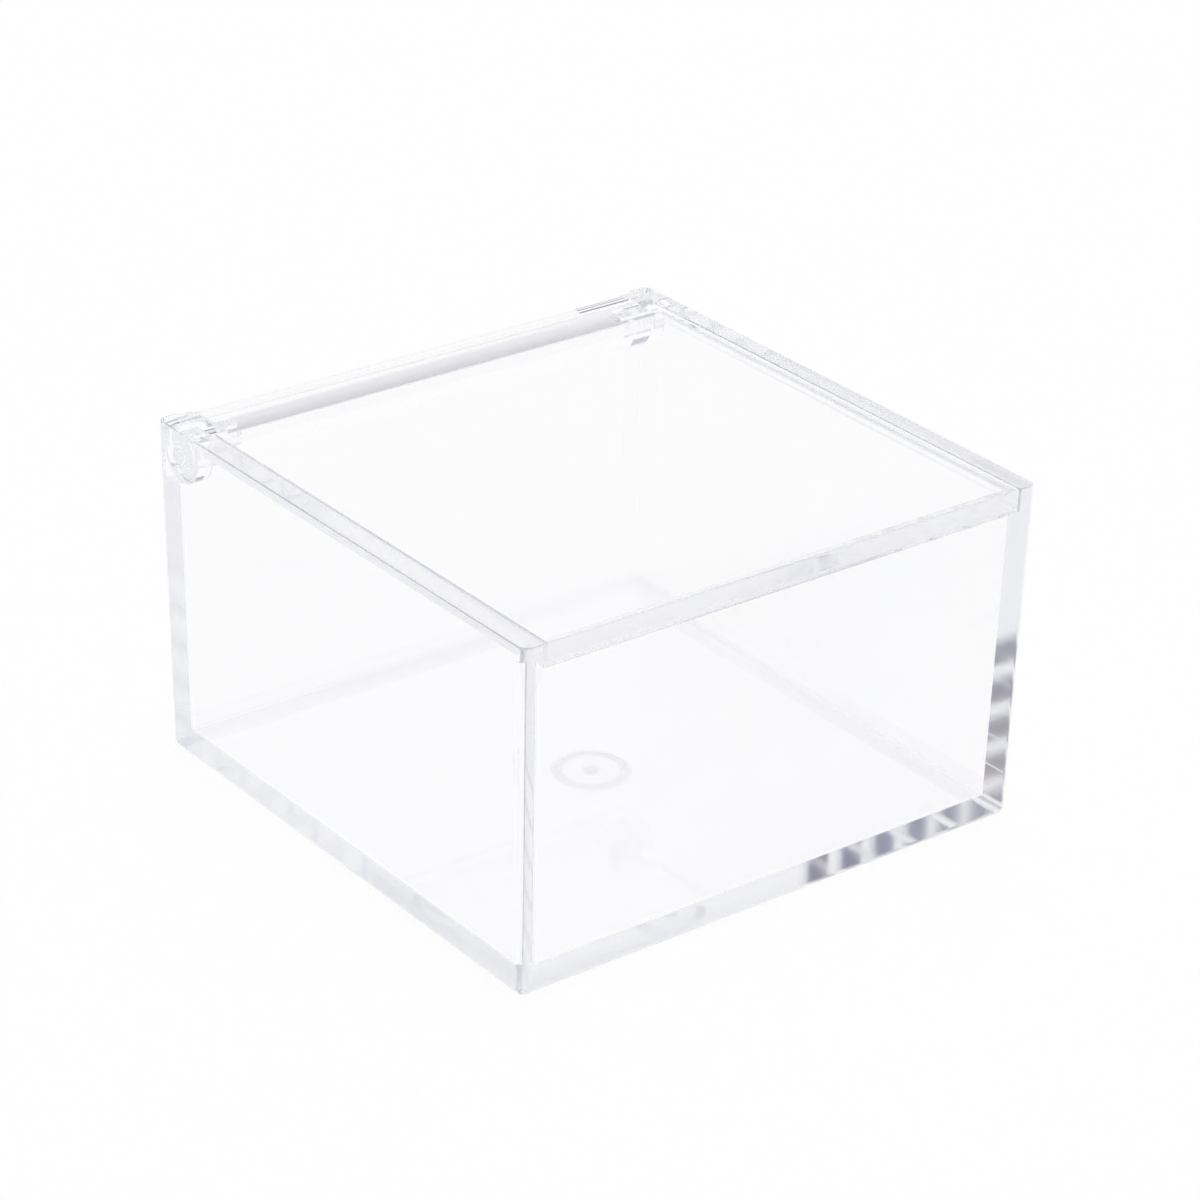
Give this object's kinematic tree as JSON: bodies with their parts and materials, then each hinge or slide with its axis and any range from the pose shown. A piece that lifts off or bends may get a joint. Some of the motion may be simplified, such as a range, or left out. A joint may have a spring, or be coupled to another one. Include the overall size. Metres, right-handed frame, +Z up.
{
  "type": "storage box with hinged lid",
  "caption": "Clear square storage box with a flat lid that lies flush between its side walls and turns on short pins at the back.",
  "frame": {"origin": "middle of the underside, on the surface that the box stands on", "axes": "+X along the front towards the right-hand side wall, +Y from the front towards the hinge, +Z up"},
  "size_m": [0.08, 0.08, 0.0476],
  "materials": {
    "clear_acrylic": "polished",
    "pin_acrylic": "polished"
  },
  "bodies": {
    "box": {"box_body": "clear_acrylic", "hinge_pin_left": "pin_acrylic", "hinge_pin_right": "pin_acrylic"},
    "hinged_lid": {"lid": "clear_acrylic"}
  },
  "joints": [
    {"name": "lid_hinge", "type": "hinge", "parent": "box", "child": "hinged_lid", "pos_m": [0, 0.036, 0.0436], "axis": [-1, 0, 0], "range_deg": [0, 100]}
  ]
}
